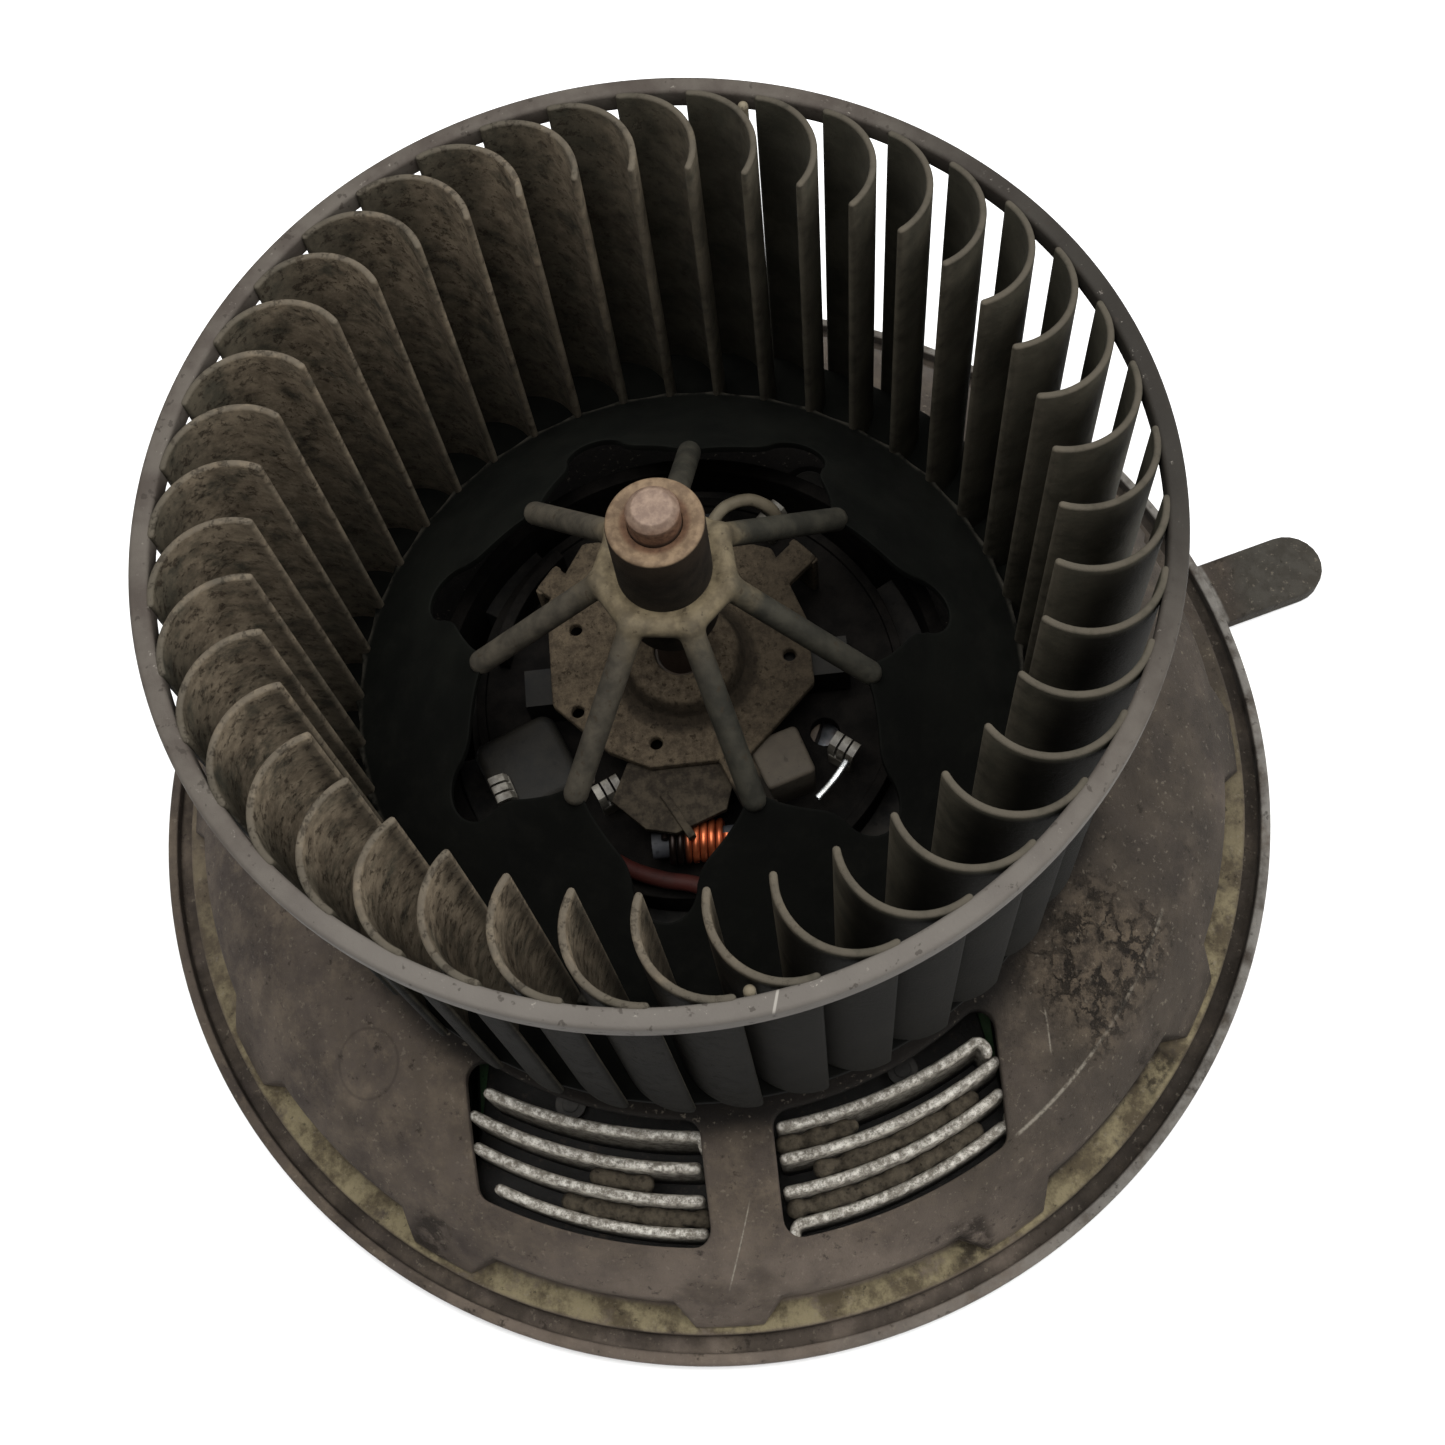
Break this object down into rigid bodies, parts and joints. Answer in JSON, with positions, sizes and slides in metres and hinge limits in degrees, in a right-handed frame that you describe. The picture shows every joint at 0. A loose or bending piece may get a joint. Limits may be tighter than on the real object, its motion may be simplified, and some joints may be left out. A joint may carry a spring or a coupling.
{
  "type": "vehicle cabin blower",
  "caption": "Squirrel-cage wheel with forward-curved blades on a brushed motor in a round domed mounting flange with a heat-sink speed regulator.",
  "frame": {"origin": "centre of the motor cap's flat underside, level with the flange's seat", "axes": "+Z along the shaft axis, towards the open top of the wheel; -Y towards the two heat-sink windows"},
  "size_m": [0.2375, 0.218, 0.122],
  "materials": {
    "wheel_plastic": "dusty moulded plastic",
    "wheel_dark": "clean dark moulded plastic",
    "spoke_plastic": "dust-coated plastic",
    "flange_plastic": "dusty grey-brown plastic",
    "grey_plastic": "grey moulded plastic",
    "black_plastic": "black moulded plastic",
    "shaft_steel": "steel with light rust",
    "plate_steel": "dusty steel",
    "bright_steel": "bright steel",
    "laminations": "stacked steel laminations",
    "magnet_ferrite": "ferrite",
    "copper": "enamelled copper wire",
    "brass_part": "plain brass",
    "bronze": "sintered bronze",
    "carbon": "carbon graphite",
    "rubber": "soft rubber",
    "aluminium": "worn cast aluminium",
    "board": "circuit board",
    "lead_red": "wire insulation",
    "lead_cream": "wire insulation",
    "pale_plastic": "pale block"
  },
  "bodies": {
    "housing": {"flange": "flange_plastic", "motor_holder": "flange_plastic", "isolator_upper": "rubber", "isolator_lower": "rubber", "motor_can": "bright_steel", "magnet_a": "magnet_ferrite", "magnet_b": "magnet_ferrite", "magnet_springs": "bright_steel", "end_plate": "plate_steel", "bearing_upper": "bronze", "bearing_lower": "bronze", "bearing_retainer_upper": "bright_steel", "bearing_retainer_lower": "bright_steel", "brush_card": "grey_plastic", "brush_box_a": "brass_part", "brush_box_b": "brass_part", "brush_spring_a": "bright_steel", "brush_spring_b": "bright_steel", "choke_coil_a": "copper", "choke_coil_b": "copper", "choke_core_a": "magnet_ferrite", "choke_core_b": "magnet_ferrite", "suppressor_block": "pale_plastic", "relay_box": "grey_plastic", "terminal_clips": "bright_steel", "lead_red": "lead_red", "lead_cream": "lead_cream", "lead_grommet": "rubber", "heat_sink": "aluminium", "heat_sink_screws": "bright_steel", "regulator_board": "board", "power_transistors": "black_plastic", "regulator_case": "black_plastic", "connector_socket": "black_plastic", "connector_pins": "brass_part", "holder_screws": "bright_steel", "bottom_cover": "black_plastic"},
    "rotor": {"wheel_top_ring": "wheel_plastic", "wheel_blades": "wheel_plastic", "wheel_back_disc": "wheel_dark", "wheel_spider": "spoke_plastic", "wheel_hub": "wheel_dark", "balance_clips": "pale_plastic", "motor_shaft": "shaft_steel", "armature_core": "laminations", "armature_windings": "copper", "commutator_sleeve": "black_plastic", "commutator_bars": "copper", "thrust_washers": "black_plastic"},
    "brush_a": {"carbon_brush_a": "carbon"},
    "brush_b": {"carbon_brush_b": "carbon"}
  },
  "joints": [
    {"name": "wheel_spin", "type": "hinge", "parent": "housing", "child": "rotor", "pos_m": [0, 0, 0.06], "axis": [0, 0, 1], "continuous": true},
    {"name": "brush_a_slide", "type": "slide", "parent": "housing", "child": "brush_a", "axis": [1, 0, 0], "range_m": [0, 0.004], "stiffness_N_per_m": 60, "springref_m": -0.003, "deforming": ["brush_spring_a"]},
    {"name": "brush_b_slide", "type": "slide", "parent": "housing", "child": "brush_b", "axis": [-1, 0, 0], "range_m": [0, 0.004], "stiffness_N_per_m": 60, "springref_m": -0.003, "deforming": ["brush_spring_b"]}
  ]
}
